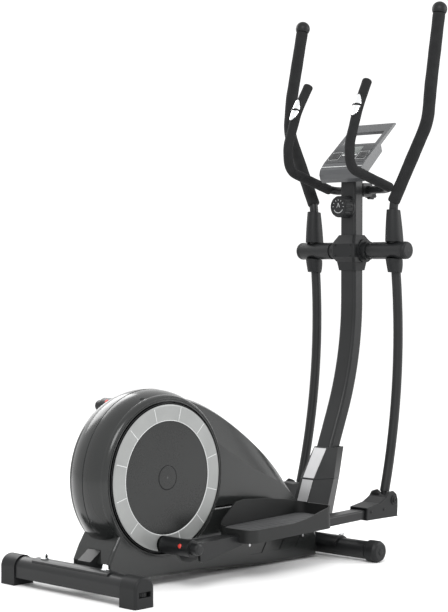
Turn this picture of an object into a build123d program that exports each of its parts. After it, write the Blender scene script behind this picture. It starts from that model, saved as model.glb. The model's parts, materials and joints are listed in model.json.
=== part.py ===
from build123d import *
from math import acos, atan2, cos, degrees, hypot, radians, sin, sqrt
import os

# Elliptical trainer, millimetres. X runs forward from the user to the console, Y to the user's
# left, Z up from the floor. Every X below is a station, measured forward from the middle of the
# rear stabilizer. The finished parts are moved back by ORIGIN_STATION, so that the origin lies on
# the floor under the middle of the machine.
ORIGIN_STATION = 608.1

# Crank and four-bar linkage
CRANK_X, CRANK_Z = 263.0, 290.0
CRANK_RADIUS = 178.0
RIGHT_PIN_ANGLE = -95.8
PEDAL_ARM_LENGTH = 847.0
SWING_LENGTH = 750.0
PIVOT_X, PIVOT_Z = 1138.0, 908.5
ARM_Y = 165.0

# Housing and crank discs
DRUM_RADIUS = 235.0
DRUM_HALF_WIDTH = 74.0
SHELL = 3.0
RECESS_RADIUS = 207.0
RECESS_DEPTH = 20.0
DISC_RADIUS = 198.0
RING_INNER_RADIUS = 153.0
CAP_RADIUS = 32.5

# Stabilizers and main beam
REAR_TUBE_BOTTOM, REAR_TUBE_TOP = 22.0, 76.0
REAR_HALF_LENGTH = 269.0
REAR_TUBE_END = 224.0
FRONT_X = 930.0
FRONT_TUBE_RADIUS = 26.5
ROLLER_RADIUS = 31.5
ROLLER_INNER_Y, ROLLER_OUTER_Y = 234.0, 278.0
BEAM_BOTTOM, BEAM_TOP = 66.0, 112.0
BEAM_HALF_WIDTH = 25.0

# Mast: straight and leaning at the foot, then one long arc that ends upright
MAST_X = 1131.0
MAST_LEAN = 22.6
MAST_BEND_RADIUS = 900.0
MAST_BEND_TOP = 760.0
MAST_FOOT_Z = 113.0
MAST_TOP_Z = 1150.0
MAST_DEPTH, MAST_WIDTH = 46.0, 58.0

# Arms, handles and their tubes
AXLE_RADIUS = 23.45
THROUGH_BAR_RADIUS = 10.0
PIVOT_HALF_LENGTH = 216.0
HUB_BORE, HUB_RADIUS = 23.5, 26.5
SWING_Y = 160.0
SWING_TUBE_RADIUS = 14.5
TUBE_WALL = 2.0
GRIP_RADIUS = 19.0
GRIP_BALL_RADIUS = 23.0
ARM_WIDTH, ARM_DEPTH = 50.0, 28.0
CLEVIS_PIN_RADIUS = 6.0
RUNNING_GAP = 0.05

# Console: profile drawn along its face (u) and square to it (w)
CONSOLE_X, CONSOLE_Z = 1090.0, 1177.0
CONSOLE_TILT = 40.9
CONSOLE_HALF_WIDTH = 82.0

# Fixed pulse handlebar and the tension knob
PULSE_TUBE_RADIUS = 12.5
PULSE_FOAM_RADIUS = 15.0
KNOB_Z = 1043.0
KNOB_RADIUS = 33.0

SIDES = (("left", 1), ("right", -1))
parts = {}


# ---------------------------------------------------------------- helpers
def box(x0, x1, y0, y1, z0, z1):
    """Box between two corners."""
    return Pos((x0 + x1) / 2, (y0 + y1) / 2, (z0 + z1) / 2) * Box(x1 - x0, y1 - y0, z1 - z0)


def cyl_x(y, z, x0, x1, radius):
    return Pos((x0 + x1) / 2, y, z) * Rot(0, 90, 0) * Cylinder(radius, x1 - x0)


def cyl_y(x, z, y0, y1, radius):
    return Pos(x, (y0 + y1) / 2, z) * Rot(90, 0, 0) * Cylinder(radius, y1 - y0)


def cyl_z(x, y, z0, z1, radius):
    return Pos(x, y, (z0 + z1) / 2) * Cylinder(radius, z1 - z0)


def ring_y(x, z, y0, y1, outer, inner):
    return cyl_y(x, z, y0, y1, outer) - cyl_y(x, z, y0 - 1, y1 + 1, inner)


def side_plate(points, y0, y1):
    """Plate whose outline is drawn in X and Z, between two values of Y."""
    face = make_face(Polyline(*points, close=True))
    return Pos(0, y1, 0) * extrude(Plane.XZ * face, amount=y1 - y0)


def turned_y(profile, x=0.0, z=0.0):
    """Solid of revolution about a line along Y; the profile holds (radius, y) points."""
    face = make_face(Polyline(*[(r, y) for r, y in profile], close=True))
    return Pos(x, 0, z) * revolve(face, Axis.Y)


def bent_rod(path, radius):
    return sweep(Plane(origin=path @ 0, z_dir=path % 0) * Circle(radius), path=path)


def bent_tube(path, outer, inner):
    return bent_rod(path, outer) - bent_rod(path, inner)


def mirrored(shape, sign):
    return shape if sign > 0 else mirror(shape, Plane.XZ)


def both_sides(shape):
    """The left-hand shape and its right-hand twin, as separate solids."""
    return Compound(children=[*solids(shape), *solids(mirror(shape, Plane.XZ))])


def solids(shape):
    return [solid for item in (shape if isinstance(shape, (list, ShapeList)) else [shape])
            for solid in item.solids()]


def group(*shapes):
    """Separate pieces that share one node."""
    return Compound(children=[solid for shape in shapes for solid in solids(shape)])


def fillet_where(shape, keep, radius):
    """Round the edges whose middle passes the test."""
    chosen = [edge for edge in shape.edges() if keep(edge.center(), edge)]
    return fillet(chosen, radius)


def lofted(sections):
    """Straight-sided loft through (z, centre x, depth in x, width in y, corner radius) sections."""
    faces = [Pos(x, 0, z) * RectangleRounded(depth, width, corner)
             for z, x, depth, width, corner in sections]
    return loft(faces, ruled=True)


# ---------------------------------------------------------------- linkage
def crank_pin(angle):
    return (CRANK_X + CRANK_RADIUS * cos(radians(angle)), CRANK_Z + CRANK_RADIUS * sin(radians(angle)))


def lower_joint(pin):
    """Where the pedal arm meets the swing arm: the forward crossing of their two circles."""
    dx, dz = PIVOT_X - pin[0], PIVOT_Z - pin[1]
    reach = hypot(dx, dz)
    spread = acos((PEDAL_ARM_LENGTH**2 + reach**2 - SWING_LENGTH**2) / (2 * PEDAL_ARM_LENGTH * reach))
    direction = atan2(dz, dx) - spread
    return (pin[0] + PEDAL_ARM_LENGTH * cos(direction), pin[1] + PEDAL_ARM_LENGTH * sin(direction))


pin_angle = {"right": RIGHT_PIN_ANGLE, "left": RIGHT_PIN_ANGLE + 180}
pin_at = {side: crank_pin(angle) for side, angle in pin_angle.items()}
joint_at = {side: lower_joint(pin) for side, pin in pin_at.items()}


def place_on_crank(shape, side):
    return Location((CRANK_X, 0, CRANK_Z), (0, -pin_angle[side], 0)) * shape


def place_pedal_arm(shape, side):
    """From the arm's own frame, with the crank pin at its origin and the lower joint on +X."""
    pin, joint = pin_at[side], joint_at[side]
    pitch = degrees(atan2(joint[1] - pin[1], joint[0] - pin[0]))
    return Location((pin[0], 0, pin[1]), (0, -pitch, 0)) * shape


def place_swing_arm(shape, side):
    """From the arm's own frame, with the pivot at its origin and the lower joint on -Z."""
    joint = joint_at[side]
    lean = degrees(atan2(PIVOT_X - joint[0], PIVOT_Z - joint[1]))
    return Location((PIVOT_X, 0, PIVOT_Z), (0, lean, 0)) * shape


# ---------------------------------------------------------------- base frame
def rear_section(inset):
    """Arched tube section, drawn in X and Z."""
    half = 29.0 - inset
    bottom, top = REAR_TUBE_BOTTOM + inset, REAR_TUBE_TOP - inset
    shoulder = top - 24.0
    arch = ThreePointArc((half, shoulder), (0, top), (-half, shoulder))
    sides = Polyline((-half, shoulder), (-half, bottom), (half, bottom), (half, shoulder))
    return make_face(Wire([*arch.edges(), *sides.edges()]))


def along_y(face, y0, y1):
    return Pos(0, y1, 0) * extrude(Plane.XZ * face, amount=y1 - y0)


def make_rear_stabilizer():
    tube = along_y(rear_section(0), -REAR_TUBE_END, REAR_TUBE_END) - along_y(rear_section(2), -300, 300)
    return tube - bolt_holes()


LEVELLER_Y = REAR_HALF_LENGTH - 19.0
LEVELLER_Z = 35.0
LEVELLER_RADIUS = 17.0
CAP_HALF, CAP_HEIGHT, CAP_SHOULDER = 33.0, 80.0, 50.0


def make_rear_end_cap():
    """Moulded foot over one end of the rear tube, with a slot for the levelling wheel."""
    cap_inner = REAR_HALF_LENGTH - 60.0
    half, shoulder = CAP_HALF, CAP_SHOULDER
    arch = ThreePointArc((half, shoulder), (0, CAP_HEIGHT), (-half, shoulder))
    sides = Polyline((-half, shoulder), (-half, 0), (half, 0), (half, shoulder))
    body = along_y(make_face(Wire([*arch.edges(), *sides.edges()])), cap_inner, REAR_HALF_LENGTH)
    body = fillet_where(body, lambda c, e: c.Y > REAR_HALF_LENGTH - 0.1 and c.Z > 1, 7.0)
    body -= along_y(rear_section(-0.2), cap_inner - 1, REAR_TUBE_END + 0.2)
    slot = box(-20, 20, LEVELLER_Y - 19, REAR_HALF_LENGTH + 1, LEVELLER_Z - 7, LEVELLER_Z + 7)
    return body - slot - cyl_z(0, LEVELLER_Y, -1, LEVELLER_Z, 6.0)


def make_rear_leveller():
    """Knurled thumbwheel with the short foot screw that it turns."""
    wheel = cyl_z(0, LEVELLER_Y, LEVELLER_Z - 5.5, LEVELLER_Z + 5.5, LEVELLER_RADIUS)
    notches = 18
    for step in range(notches):
        angle = radians(360 / notches * step)
        wheel -= cyl_z(LEVELLER_RADIUS * cos(angle), LEVELLER_Y + LEVELLER_RADIUS * sin(angle),
                       LEVELLER_Z - 6, LEVELLER_Z + 6, 1.2)
    return wheel + cyl_z(0, LEVELLER_Y, 2, LEVELLER_Z, 5.0)


def make_front_stabilizer():
    wall = 2.0
    z = ROLLER_RADIUS
    tube = ring_y(FRONT_X, z, -ROLLER_INNER_Y + 2, ROLLER_INNER_Y - 2, FRONT_TUBE_RADIUS,
                  FRONT_TUBE_RADIUS - wall)
    plug = ring_y(FRONT_X, z, ROLLER_INNER_Y - 14, ROLLER_INNER_Y - 2, FRONT_TUBE_RADIUS - wall + 0.5, 5.0)
    return tube + plug + mirror(plug, Plane.XZ) - bolt_holes()


def make_transport_roller():
    """Moulded roller on the end of the front stabilizer, with a soft outer shoulder."""
    r, y0, y1 = ROLLER_RADIUS, ROLLER_INNER_Y, ROLLER_OUTER_Y
    bore = 5.0 + RUNNING_GAP
    body = turned_y([(bore, y0), (r - 5, y0), (r, y0 + 5), (r, y1 - 10), (r - 4, y1 - 3), (r - 9, y1),
                     (10, y1), (10, y1 - 6), (bore, y1 - 6)], FRONT_X, ROLLER_RADIUS)
    return body


def make_roller_bolt():
    z = ROLLER_RADIUS
    shank = cyl_y(FRONT_X, z, ROLLER_INNER_Y - 30, ROLLER_OUTER_Y - 5.4, 5.0)
    head = cyl_y(FRONT_X, z, ROLLER_OUTER_Y - 5.4, ROLLER_OUTER_Y - 1, 8.0)
    return shank + head


def make_dome_nut(x, y, z, tilt):
    """Chrome dome nut on its washer, with a stub of bolt below."""
    washer = Cylinder(11, 2, align=(Align.CENTER, Align.CENTER, Align.MIN))
    hexagon = Pos(0, 0, 2) * extrude(RegularPolygon(8.5, 6), amount=8)
    dome = Pos(0, 0, 7.5) * (Sphere(7.4) - Box(20, 20, 20, align=(Align.CENTER, Align.CENTER, Align.MAX)))
    stub = Cylinder(BOLT_RADIUS, 14, align=(Align.CENTER, Align.CENTER, Align.MAX))
    return Location((x, y, z), (0, tilt, 0)) * (washer + hexagon + dome + stub)


BOLT_SPOTS = ((0.0, 120.0, REAR_TUBE_TOP + 4.4, 0.0),
              (FRONT_X + 21.7, 112.0, ROLLER_RADIUS + 24.1, 42.0))
REAR_SADDLE_HALF, FRONT_SADDLE_HALF = 150.0, 130.0
BOLT_RADIUS = 4.5
BRACKET_Y = 33.0
FORK_Y = (-42.0, 56.0)
PLATE = 4.0


def bolt_holes():
    """Clearance for the four bolts that hold the stabilizers in their saddles."""
    holes = [Location((x, sign * y, z), (0, tilt, 0)) * Cylinder(BOLT_RADIUS + 0.2, 60)
             for x, y, z, tilt in BOLT_SPOTS for sign in (-1, 1)]
    return group(*holes)


BEAM_TAIL_X, BEAM_TAIL_Z = 34.0, 84.0
BEAM_WALL = 2.5


def beam_solid(grow):
    """Main beam with its tapered tail, grown outward by a distance."""
    tail, nose_end = BEAM_TAIL_X - grow, FRONT_X + 42.0 + grow
    bottom, top = BEAM_BOTTOM - grow, BEAM_TOP + grow
    outline = [(tail, bottom), (tail, BEAM_TAIL_Z + grow), (BEAM_TAIL_X + 40, top), (nose_end, top),
               (nose_end, bottom)]
    return side_plate(outline, -BEAM_HALF_WIDTH - grow, BEAM_HALF_WIDTH + grow)


def make_main_frame():
    """Beam, stabilizer saddles, bottom bracket, flywheel fork and mast socket, welded together."""
    beam = beam_solid(0) - beam_solid(-BEAM_WALL)
    rear_saddle = along_y(rear_section(-4.2) - rear_section(-0.2), -REAR_SADDLE_HALF, REAR_SADDLE_HALF)
    rear_saddle -= box(-60, -20, -200, 200, -10, 200)
    rear_saddle -= box(-60, 60, -200, 200, -10, 30)
    rear_rib = box(31, 37, -BEAM_HALF_WIDTH, BEAM_HALF_WIDTH, 50, BEAM_TAIL_Z)
    front_saddle = ring_y(FRONT_X, ROLLER_RADIUS, -FRONT_SADDLE_HALF, FRONT_SADDLE_HALF,
                          FRONT_TUBE_RADIUS + 5.7, FRONT_TUBE_RADIUS + 0.2)
    front_saddle -= box(FRONT_X - 40, FRONT_X + 40, -200, 200, -10, ROLLER_RADIUS + 6)
    frame = beam + rear_saddle + rear_rib + front_saddle
    crank_plate = [(CRANK_X - 62, BEAM_TOP - 6), (CRANK_X + 62, BEAM_TOP - 6), (CRANK_X + 26, CRANK_Z),
                   (CRANK_X - 26, CRANK_Z)]
    fork_plate = [(FLYWHEEL_X - 40, BEAM_TOP - 6), (FLYWHEEL_X + 40, BEAM_TOP - 6),
                  (FLYWHEEL_X + 16, FLYWHEEL_Z + 16), (FLYWHEEL_X - 16, FLYWHEEL_Z + 16)]
    for outline, outer_right, outer_left in ((crank_plate, -BRACKET_Y, BRACKET_Y), (fork_plate, *FORK_Y)):
        frame += side_plate(outline, outer_right, outer_right + PLATE)
        frame += side_plate(outline, outer_left - PLATE, outer_left)
        frame += box(outline[0][0], outline[1][0], outer_right, outer_left, BEAM_TOP - 6, BEAM_TOP)
    shell = cyl_y(CRANK_X, CRANK_Z, -BRACKET_Y, BRACKET_Y, 28)
    frame = frame + shell - cyl_y(CRANK_X, CRANK_Z, -60, 60, 21)
    frame -= cyl_y(FLYWHEEL_X, FLYWHEEL_Z, -60, 60, 6)
    socket = mast_solid(MAST_DEPTH + 8, MAST_WIDTH + 8, 13, BEAM_TOP - 2, 215)
    socket -= mast_solid(MAST_DEPTH + 0.6, MAST_WIDTH + 0.6, 10.3, BEAM_TOP, 260)
    return frame + socket - bolt_holes()


# ---------------------------------------------------------------- mast
def mast_x(z):
    """Station of the mast's centreline at a height."""
    if z >= MAST_BEND_TOP:
        return MAST_X
    bend_foot = MAST_BEND_TOP - MAST_BEND_RADIUS * sin(radians(MAST_LEAN))
    if z >= bend_foot:
        return MAST_X - MAST_BEND_RADIUS + sqrt(MAST_BEND_RADIUS**2 - (MAST_BEND_TOP - z) ** 2)
    return mast_x(bend_foot) - (bend_foot - z) * sin(radians(MAST_LEAN)) / cos(radians(MAST_LEAN))


def mast_solid(depth, width, corner, z0, z1):
    """Rounded bar that follows the mast between two heights, with level ends."""
    bend_foot = MAST_BEND_TOP - MAST_BEND_RADIUS * sin(radians(MAST_LEAN))
    lean = radians(MAST_LEAN)
    low = min(z0, bend_foot) - 40
    start = Vector(mast_x(low), 0, low)
    elbow = Vector(mast_x(bend_foot), 0, bend_foot)
    top = Vector(MAST_X, 0, MAST_BEND_TOP)
    edges = [Line(start, elbow)]
    if z1 > bend_foot:
        edges.append(TangentArc(elbow, top, tangent=(sin(lean), 0, cos(lean))))
        edges.append(Line(top, (MAST_X, 0, MAST_TOP_Z + 60)))
    path = Wire([edge for line in edges for edge in line.edges()])
    profile = Plane(origin=start, x_dir=(0, 1, 0), z_dir=(sin(lean), 0, cos(lean)))
    bar = sweep(profile * RectangleRounded(width, depth, corner), path=path)
    return bar & box(500, 1500, -100, 100, z0, z1)


def make_mast():
    mast = mast_solid(MAST_DEPTH, MAST_WIDTH, 10, MAST_FOOT_Z, MAST_TOP_Z)
    mast -= mast_solid(MAST_DEPTH - 5, MAST_WIDTH - 5, 7.5, MAST_FOOT_Z - 5, MAST_TOP_Z - 3)
    return mast - cyl_y(PIVOT_X, PIVOT_Z, -60, 60, THROUGH_BAR_RADIUS)


def cover_section(z, rear, strip, side, front, front_half):
    """Faceted outline round the mast: flat rear strip, raked sides, narrower front."""
    x = mast_x(z)
    points = [(x - rear, -strip), (x - rear, strip), (x + 2, side), (x + front, front_half),
              (x + front, -front_half), (x + 2, -side)]
    return Pos(0, 0, z) * make_face(Polyline(*points, close=True))


COVER_SEAM_Z = 221.0
COVER_TOP_Z = 312.0
COVER_FOOT_SECTION = (64, 29, 60, 48, 46)
COVER_SEAM_SECTION = (58, 27, 54, 42, 41)
COVER_TOP_SECTION = (33, 27, 38, 33, 34)


def make_mast_cover(z0, z1, low, high):
    outer = loft([cover_section(z0, *low), cover_section(z1, *high)], ruled=True)
    thinner = [tuple(size - SHELL for size in sizes) for sizes in (low, high)]
    inner = loft([cover_section(z0 - 0.01, *thinner[0]), cover_section(z1 + 0.01, *thinner[1])], ruled=True)
    return outer - inner - mast_solid(MAST_DEPTH + 1, MAST_WIDTH + 1, 10.5, z0 - 1, z1 + 1)


# ---------------------------------------------------------------- pivot, covers and swing arms
def make_pivot_axle():
    """Two bearing tubes, one each side of the mast, on a thinner bar that passes through it."""
    side_y = MAST_WIDTH / 2 + 0.2
    tube = ring_y(PIVOT_X, PIVOT_Z, side_y, PIVOT_HALF_LENGTH - 14, AXLE_RADIUS, AXLE_RADIUS - 3.5)
    flange = cyl_y(PIVOT_X, PIVOT_Z, side_y, side_y + 6, AXLE_RADIUS)
    return (cyl_y(PIVOT_X, PIVOT_Z, -side_y - 3, side_y + 3, THROUGH_BAR_RADIUS) + tube + flange
            + mirror(tube, Plane.XZ) + mirror(flange, Plane.XZ))


def make_pivot_end_cap():
    spigot, end = AXLE_RADIUS - 3.6, PIVOT_HALF_LENGTH
    return turned_y([(0, end - 31), (spigot, end - 31), (spigot, end - 13.6), (HUB_RADIUS, end - 13.6),
                     (HUB_RADIUS, end - 7), (HUB_RADIUS - 2, end - 3), (HUB_RADIUS - 6, end - 0.8), (0, end)],
                    PIVOT_X, PIVOT_Z)


def make_pivot_cover():
    """Faceted block over the mast and its cross tube, still in one piece."""
    sections = [(848, MAST_X, 54, 66, 8), (874, MAST_X, 66, 72, 8), (889, MAST_X, 92, 92, 8),
                (930, MAST_X, 92, 92, 8), (957, MAST_X, 54, 66, 8)]
    block = lofted(sections)
    for sign in (-1, 1):
        flange = cyl_y(PIVOT_X, PIVOT_Z, *sorted((sign * 40, sign * 50)), 36)
        collar = cyl_y(PIVOT_X, PIVOT_Z, *sorted((sign * 50, sign * 66)), 28)
        block += flange + collar
    block -= mast_solid(MAST_DEPTH + 1, MAST_WIDTH + 1, 10.5, 800, 1000)
    return block - cyl_y(PIVOT_X, PIVOT_Z, -100, 100, AXLE_RADIUS + 0.3)


GRIP_BEND = (-13.0, SWING_Y, 145.0)
GRIP_OUTER = (-18.0, 281.0, 382.0)
GRIP_UPPER = (-13.0, 283.0, 490.0)
GRIP_TIP = (16.0, 281.0, 712.0)
HUB_INNER_Y, HUB_OUTER_Y = 82.0, PIVOT_HALF_LENGTH - 14.2


def bow_path():
    """Centreline of the lower tube, bowed forward between the hub and the lower joint."""
    return ThreePointArc((3, SWING_Y, -8), (40, SWING_Y, -372), (2, SWING_Y, -728))


def handle_path():
    points = [(0, SWING_Y, 8), GRIP_BEND, GRIP_OUTER, GRIP_UPPER, GRIP_TIP]
    return FilletPolyline(*points, radius=[110, 150, 400])


def make_swing_arm():
    """Bowed lower tube, hub tube and handle tube, in the arm's own frame."""
    handle_radius = SWING_TUBE_RADIUS - 1
    neck = Pos(0, SWING_Y, -735) * Cylinder(9.8, 34)
    eye = cyl_y(0, -SWING_LENGTH, ARM_Y - 15.5, ARM_Y + 15.5, 17)
    hub = cyl_y(0, 0, HUB_INNER_Y, HUB_OUTER_Y, HUB_RADIUS)
    arm = hub + bent_rod(bow_path(), SWING_TUBE_RADIUS) + neck + eye + bent_rod(handle_path(), handle_radius)
    # The tubes stay solid where they meet the hub and the neck.
    arm -= bent_rod(bow_path(), SWING_TUBE_RADIUS - TUBE_WALL) & box(-100, 100, 100, 300, -714, -30)
    arm -= bent_rod(handle_path(), handle_radius - TUBE_WALL) & box(-100, 100, 100, 400, 30, 706)
    arm -= cyl_y(0, 0, 60, 240, HUB_BORE)
    return arm - cyl_y(0, -SWING_LENGTH, 100, 200, CLEVIS_PIN_RADIUS + RUNNING_GAP)


HUB_COVER_UPPER = ((26, 0, 62, 52), (70, -5, 57, 47), (122, -11, 44, 40))
HUB_COVER_LOWER = ((-66, 8, 44, 42), (-46, 6, 54, 46), (-26, 2, 58, 48))


def make_hub_cover():
    """Leaf-shaped sleeve over the arm above and below the hub tube."""
    pieces = []
    for sections in (HUB_COVER_UPPER, HUB_COVER_LOWER):
        piece = loft([Pos(x, SWING_Y, z) * Ellipse(depth / 2, width / 2) for z, x, depth, width in sections])
        piece -= bent_rod(bow_path(), SWING_TUBE_RADIUS + 0.2)
        piece -= bent_rod(handle_path(), SWING_TUBE_RADIUS - 0.8)
        piece -= cyl_y(0, 0, 60, 240, HUB_RADIUS + 0.2)
        pieces.append(piece)
    return group(*pieces)


def make_handle_grip():
    """Foam sleeve from just above the hub cover to the ball at the tip."""
    start = Vector(*GRIP_BEND)
    toward = (Vector(*GRIP_OUTER) - start).normalized()
    path = FilletPolyline(start + toward * 8, GRIP_OUTER, GRIP_UPPER, GRIP_TIP, radius=[150, 400])
    foam = bent_rod(path, GRIP_RADIUS) - bent_rod(handle_path(), SWING_TUBE_RADIUS - 0.9)
    return foam - make_hub_cover()


def make_grip_ball():
    tip = Vector(*GRIP_TIP)
    up = (tip - Vector(*GRIP_UPPER)).normalized()
    ball = Sphere(GRIP_BALL_RADIUS) & Pos(0, 0, 18) * Box(60, 60, 60)
    return Plane(origin=tip + up * 12.2, z_dir=up).location * ball


# ---------------------------------------------------------------- pedal arms
CRANK_REACH_Y = 86.5
SLEEVE_INNER_Y, SLEEVE_OUTER_Y = 87.5, 194.0
SLEEVE_BORE_DEPTH = 57.0
BOSS_RADIUS, BOSS_END_Y = 16.0, 222.0
ARM_TUBE_START = (34.0, -6.0)
ARM_TUBE_END = (812.0, -29.0)


def arm_drop():
    """Angle by which the tube falls below the line from the crank pin to the lower joint."""
    (x0, z0), (x1, z1) = ARM_TUBE_START, ARM_TUBE_END
    return degrees(atan2(z0 - z1, x1 - x0))


def arm_tube(grow):
    (x0, z0), (x1, z1) = ARM_TUBE_START, ARM_TUBE_END
    length = hypot(x1 - x0, z1 - z0)
    tube = Box(length, ARM_WIDTH + grow, ARM_DEPTH + grow, align=(Align.MIN, Align.CENTER, Align.CENTER))
    tube = fillet(tube.edges().filter_by(Axis.X), 6)
    return Location((x0, ARM_Y, z0), (0, arm_drop(), 0)) * tube


def arm_core():
    """Space inside the pedal arm's tube, which is closed at both ends."""
    (x0, z0), (x1, z1) = ARM_TUBE_START, ARM_TUBE_END
    length = hypot(x1 - x0, z1 - z0)
    core = Box(length - 50, ARM_WIDTH - 5, ARM_DEPTH - 5, align=(Align.MIN, Align.CENTER, Align.CENTER))
    return Location((x0, ARM_Y, z0), (0, arm_drop(), 0)) * Pos(8, 0, 0) * core


def make_pedal_arm():
    """Bearing sleeve, flat tube, rear gussets and front clevis, in the arm's own frame."""
    tube = arm_tube(0)
    sleeve = cyl_y(0, 0, SLEEVE_INNER_Y, SLEEVE_OUTER_Y, 23)
    gusset = [(-4, 12), (34, 14), (190, 3), (190, -24), (120, -34), (34, -48), (6, -40), (-16, -14)]
    inner = ARM_Y - ARM_WIDTH / 2
    arm = tube + sleeve + side_plate(gusset, inner, inner + 8)
    arm += side_plate([(30, 8), (34, 8), (190, 2), (190, -24), (120, -34), (40, -46), (30, -40)],
                      ARM_Y + ARM_WIDTH / 2 - 8, ARM_Y + ARM_WIDTH / 2)
    # Domed boss on the outer side, in line with the crank pin
    arm += box(-12, 40, ARM_Y - 24, ARM_Y + 24, -16, 10)
    arm += turned_y([(0, ARM_Y), (BOSS_RADIUS, ARM_Y), (BOSS_RADIUS, BOSS_END_Y - 7),
                     (BOSS_RADIUS - 2, BOSS_END_Y - 3), (BOSS_RADIUS - 6, BOSS_END_Y - 0.8), (0, BOSS_END_Y)])
    arm -= arm_core()
    arm -= cyl_y(0, 0, SLEEVE_INNER_Y - 1, SLEEVE_INNER_Y + SLEEVE_BORE_DEPTH, 9)
    ear = [(770, -36), (818, -38), (862, -20), (862, 8), (847, 16), (832, 8), (806, -20)]
    for y in (ARM_Y - 22, ARM_Y + 16.2):
        arm += side_plate(ear, y, y + 5.8)
    return arm + cyl_y(PEDAL_ARM_LENGTH, 0, ARM_Y - 22, ARM_Y + 22, CLEVIS_PIN_RADIUS)


def make_joint_cover():
    """Moulded boot over the clevis, open at the top and front for the swing arm."""
    profile = [(716, -42), (722, -6), (780, 0), (812, 13), (824, 26), (848, 27), (862, 16), (867, -2),
               (866, -22), (862, -51)]
    y0, y1 = ARM_Y - 34, ARM_Y + 34
    body = side_plate(profile, y0, y1)
    body = fillet_where(body, lambda c, e: abs(abs(c.Y - ARM_Y) - 34) < 0.1 and c.Z > -38, 3.0)
    cavity = side_plate([(700, -60), (700, -11), (780, -5), (812, 2), (818, 40), (880, 40), (880, -12),
                         (860, -22), (860, -60)], y0 + 7, y1 - 7)
    floor = side_plate([(716, -42), (862, -51), (862, -48), (716, -39)], y0, y1)
    boss = cyl_y(PEDAL_ARM_LENGTH, 0, y1 - 2, y1 + 2, 15) + cyl_y(PEDAL_ARM_LENGTH, 0, y0 - 2, y0 + 2, 15)
    cover = body - cavity + floor + boss
    return cover - arm_tube(0.6)


PEDAL_INNER_Y, PEDAL_OUTER_Y = 105.0, 238.0
PEDAL_START_X, PEDAL_LENGTH = 180.0, 345.0


def make_pedal():
    """Foot tray: tall inner and front walls, low outer lip, ribbed tread, in the arm's own frame."""
    wall, tread_top, tread = 4.0, 19.0, 5.0
    width = PEDAL_OUTER_Y - PEDAL_INNER_Y
    x0, x1 = PEDAL_START_X, PEDAL_START_X + PEDAL_LENGTH
    centre = Pos((x0 + x1) / 2, (PEDAL_OUTER_Y + PEDAL_INNER_Y) / 2)
    plan = centre * RectangleRounded(PEDAL_LENGTH, width, 30)
    hollow = centre * RectangleRounded(PEDAL_LENGTH - 2 * wall, width - 2 * wall, 30 - wall)
    tray = Pos(0, 0, -10) * extrude(plan, amount=100)
    tray -= Pos(0, 0, tread_top) * extrude(hollow, amount=100)
    tray -= Pos(0, 0, -20) * extrude(hollow, amount=20 + tread_top - tread)
    # The rim follows one line on the inner side and a lower one on the outer side.
    inner_rim = [(x0 - 5, 30), (x0 + 12, 34), (x0 + 75, 84), (x0 + 110, 88), (x0 + 200, 79),
                 (x0 + 300, 64), (x1 + 5, 52), (x1 + 5, 200), (x0 - 5, 200)]
    outer_rim = [(x0 - 5, 26), (x0 + 170, 24), (x0 + 230, 30), (x0 + 300, 46), (x1 + 5, 54),
                 (x1 + 5, 200), (x0 - 5, 200)]
    split = PEDAL_INNER_Y + 34
    tray -= side_plate(inner_rim, PEDAL_INNER_Y - 1, split)
    tray -= side_plate(outer_rim, split, PEDAL_OUTER_Y + 1)
    ribs = 11
    for step in range(ribs):
        x = x0 + 30 + step * (PEDAL_LENGTH - 60) / (ribs - 1)
        tray += box(x - 3, x + 3, PEDAL_INNER_Y + 14, PEDAL_OUTER_Y - 14, 18, 21.5)
    arm_top = ARM_TUBE_START[1] + ARM_DEPTH / 2 + 1.1
    for x in (x0 + 60, x1 - 60):
        tray += box(x - 20, x + 20, ARM_Y - 22, ARM_Y + 22, arm_top, tread_top - tread + 1)
    gap = ARM_WIDTH / 2 + 0.4
    tray -= box(x0 - 1, x1 + 1, ARM_Y - gap, ARM_Y + gap, -40, arm_top)
    return Rot(0, arm_drop(), 0) * tray


# ---------------------------------------------------------------- crank group
PULLEY_RADIUS = 112.0
PULLEY_Y = 44.0
BELT_WIDTH = 12.0


def make_crank_axle():
    return cyl_y(CRANK_X, CRANK_Z, -66, 66, 10)


def make_crank_pulley():
    y0, y1 = PULLEY_Y - BELT_WIDTH / 2 - 1, PULLEY_Y + BELT_WIDTH / 2 + 1
    wheel = ring_y(CRANK_X, CRANK_Z, y0, y1, PULLEY_RADIUS, PULLEY_RADIUS - 12)
    wheel += ring_y(CRANK_X, CRANK_Z, PULLEY_Y - 2, PULLEY_Y + 2, PULLEY_RADIUS - 6, 10)
    return wheel + ring_y(CRANK_X, CRANK_Z, y0 + 2, y1 - 2, 17, 10)


def make_crank_arm():
    """Steel arm behind the disc, with the pin stub that stops short of the pedal arm."""
    bar = box(0, CRANK_RADIUS, 60.5, 72.5, -15, 15)
    bar += cyl_y(0, 0, 58, 72.5, 22) + cyl_y(CRANK_RADIUS, 0, 60.5, 72.5, 17)
    bar -= cyl_y(0, 0, 50, 66.1, 10)
    return bar + cyl_y(CRANK_RADIUS, 0, 72.5, CRANK_REACH_Y, 9)


def make_crank_disc():
    """Dished disc that hides the crank arm, with a seat for its centre cap."""
    disc = turned_y([(0, 73), (DISC_RADIUS - 4, 73), (DISC_RADIUS, 75), (DISC_RADIUS, 77),
                     (RING_INNER_RADIUS, 77), (RING_INNER_RADIUS, 78.5), (0, 79.5)])
    disc -= cyl_y(0, 0, 77, 90, CAP_RADIUS)
    return disc - cyl_y(CRANK_RADIUS, 0, 60, 90, 9.2)


def make_disc_ring():
    """Silver trim ring round the disc, cut away where the crank pin comes through."""
    ring = turned_y([(RING_INNER_RADIUS + 0.2, 77), (RING_INNER_RADIUS + 0.2, 79.6),
                     (RING_INNER_RADIUS + 3, 80.4), (DISC_RADIUS - 4, 80.4), (DISC_RADIUS - 0.5, 78.6),
                     (DISC_RADIUS - 0.5, 77)])
    return ring - cyl_y(CRANK_RADIUS, 0, 60, 90, 24)


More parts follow.
